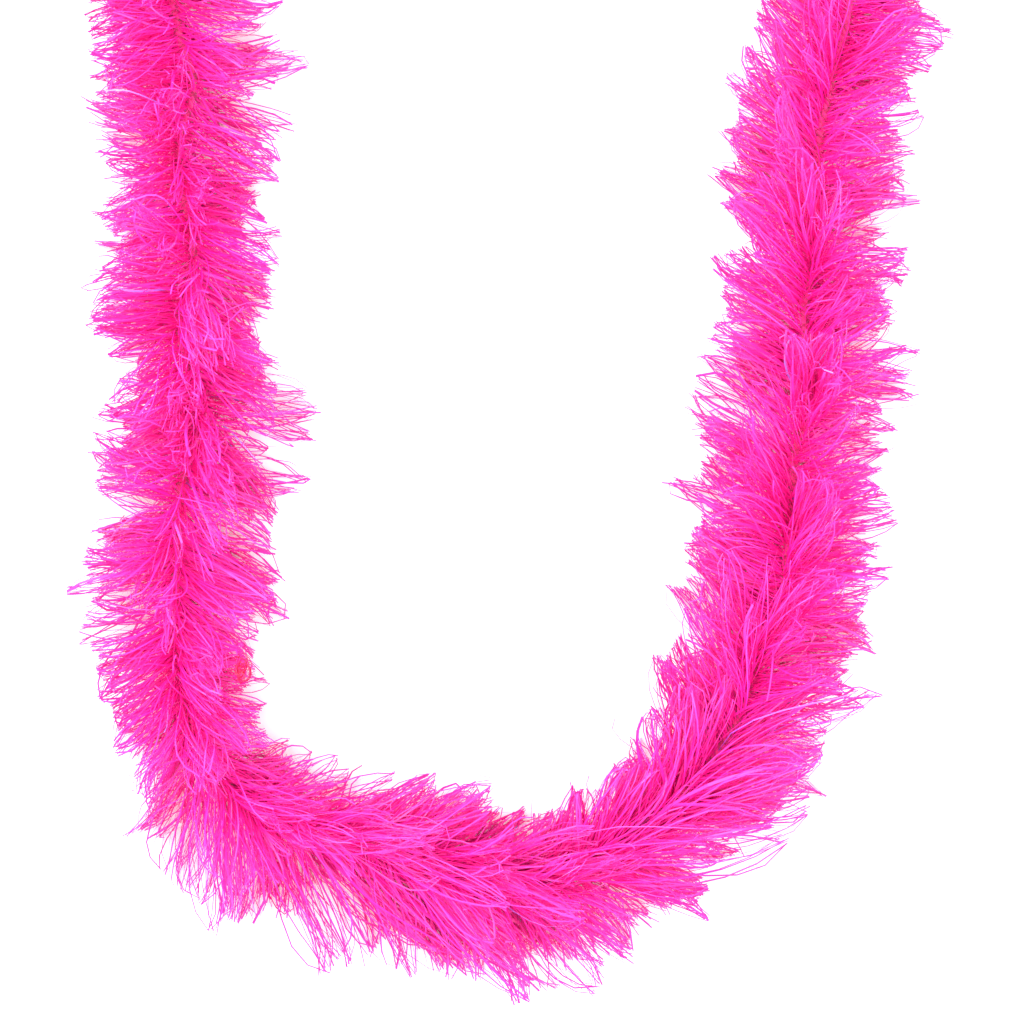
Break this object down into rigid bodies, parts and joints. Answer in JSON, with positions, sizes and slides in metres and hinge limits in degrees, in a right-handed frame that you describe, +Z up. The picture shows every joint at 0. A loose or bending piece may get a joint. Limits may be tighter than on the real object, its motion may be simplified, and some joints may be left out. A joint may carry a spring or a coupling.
{
  "type": "feather boa",
  "caption": "Long soft boa of thin glossy strips standing out all round from a twisted core cord, laid in a U, knotted at both ends.",
  "frame": {"origin": "centre of the box round the laid boa, on the table it lies on", "axes": "+Z up from the table, +Y along both arms towards the two ends, +X to the right of the U seen from above"},
  "size_m": [0.4313, 0.8438, 0.074],
  "materials": {
    "strip_film": "thin glossy film strips with a soft sheen, hot pink",
    "cord_yarn": "matt twisted yarn, deep pink",
    "binding_thread": "fine wound thread, dark pink"
  },
  "bodies": {
    "middle_run": {"core_cord_middle": "cord_yarn", "pile_middle_1": "strip_film", "pile_middle_2": "strip_film", "pile_middle_3": "strip_film", "pile_middle_4": "strip_film", "pile_middle_5": "strip_film", "pile_middle_6": "strip_film"},
    "left_end_run": {"core_cord_left_end": "cord_yarn", "pile_left_end_1": "strip_film", "pile_left_end_2": "strip_film", "pile_left_end_3": "strip_film", "end_knot_left": "cord_yarn", "end_binding_left": "binding_thread"},
    "left_upper_run": {"core_cord_left_upper": "cord_yarn", "pile_left_upper_1": "strip_film", "pile_left_upper_2": "strip_film"},
    "left_lower_run": {"core_cord_left_lower": "cord_yarn", "pile_left_lower_1": "strip_film", "pile_left_lower_2": "strip_film"},
    "right_lower_run": {"core_cord_right_lower": "cord_yarn", "pile_right_lower_1": "strip_film", "pile_right_lower_2": "strip_film"},
    "right_upper_run": {"core_cord_right_upper": "cord_yarn", "pile_right_upper_1": "strip_film", "pile_right_upper_2": "strip_film"},
    "right_end_run": {"core_cord_right_end": "cord_yarn", "pile_right_end_1": "strip_film", "pile_right_end_2": "strip_film", "pile_right_end_3": "strip_film", "end_knot_right": "cord_yarn", "end_binding_right": "binding_thread"}
  },
  "joints": [
    {"name": "left_lower_swing", "type": "hinge", "parent": "middle_run", "child": "left_lower_run", "pos_m": [-0.1645, -0.268, 0.03], "axis": [0, 0, 1], "range_deg": [-5, 35]},
    {"name": "left_upper_swing", "type": "hinge", "parent": "left_lower_run", "child": "left_upper_run", "pos_m": [-0.157, -0.0655, 0.03], "axis": [0, 0, 1], "range_deg": [-5, 35]},
    {"name": "left_end_lift", "type": "hinge", "parent": "left_upper_run", "child": "left_end_run", "pos_m": [-0.1715, 0.137, 0.03], "axis": [1, 0, 0], "range_deg": [0, 40]},
    {"name": "right_lower_swing", "type": "hinge", "parent": "middle_run", "child": "right_lower_run", "pos_m": [0.138, -0.2405, 0.03], "axis": [0, 0, -1], "range_deg": [-5, 35]},
    {"name": "right_upper_swing", "type": "hinge", "parent": "right_lower_run", "child": "right_upper_run", "pos_m": [0.154, -0.068, 0.03], "axis": [0, 0, -1], "range_deg": [-5, 35]},
    {"name": "right_end_lift", "type": "hinge", "parent": "right_upper_run", "child": "right_end_run", "pos_m": [0.169, 0.152, 0.03], "axis": [1, 0, 0], "range_deg": [0, 40]}
  ]
}
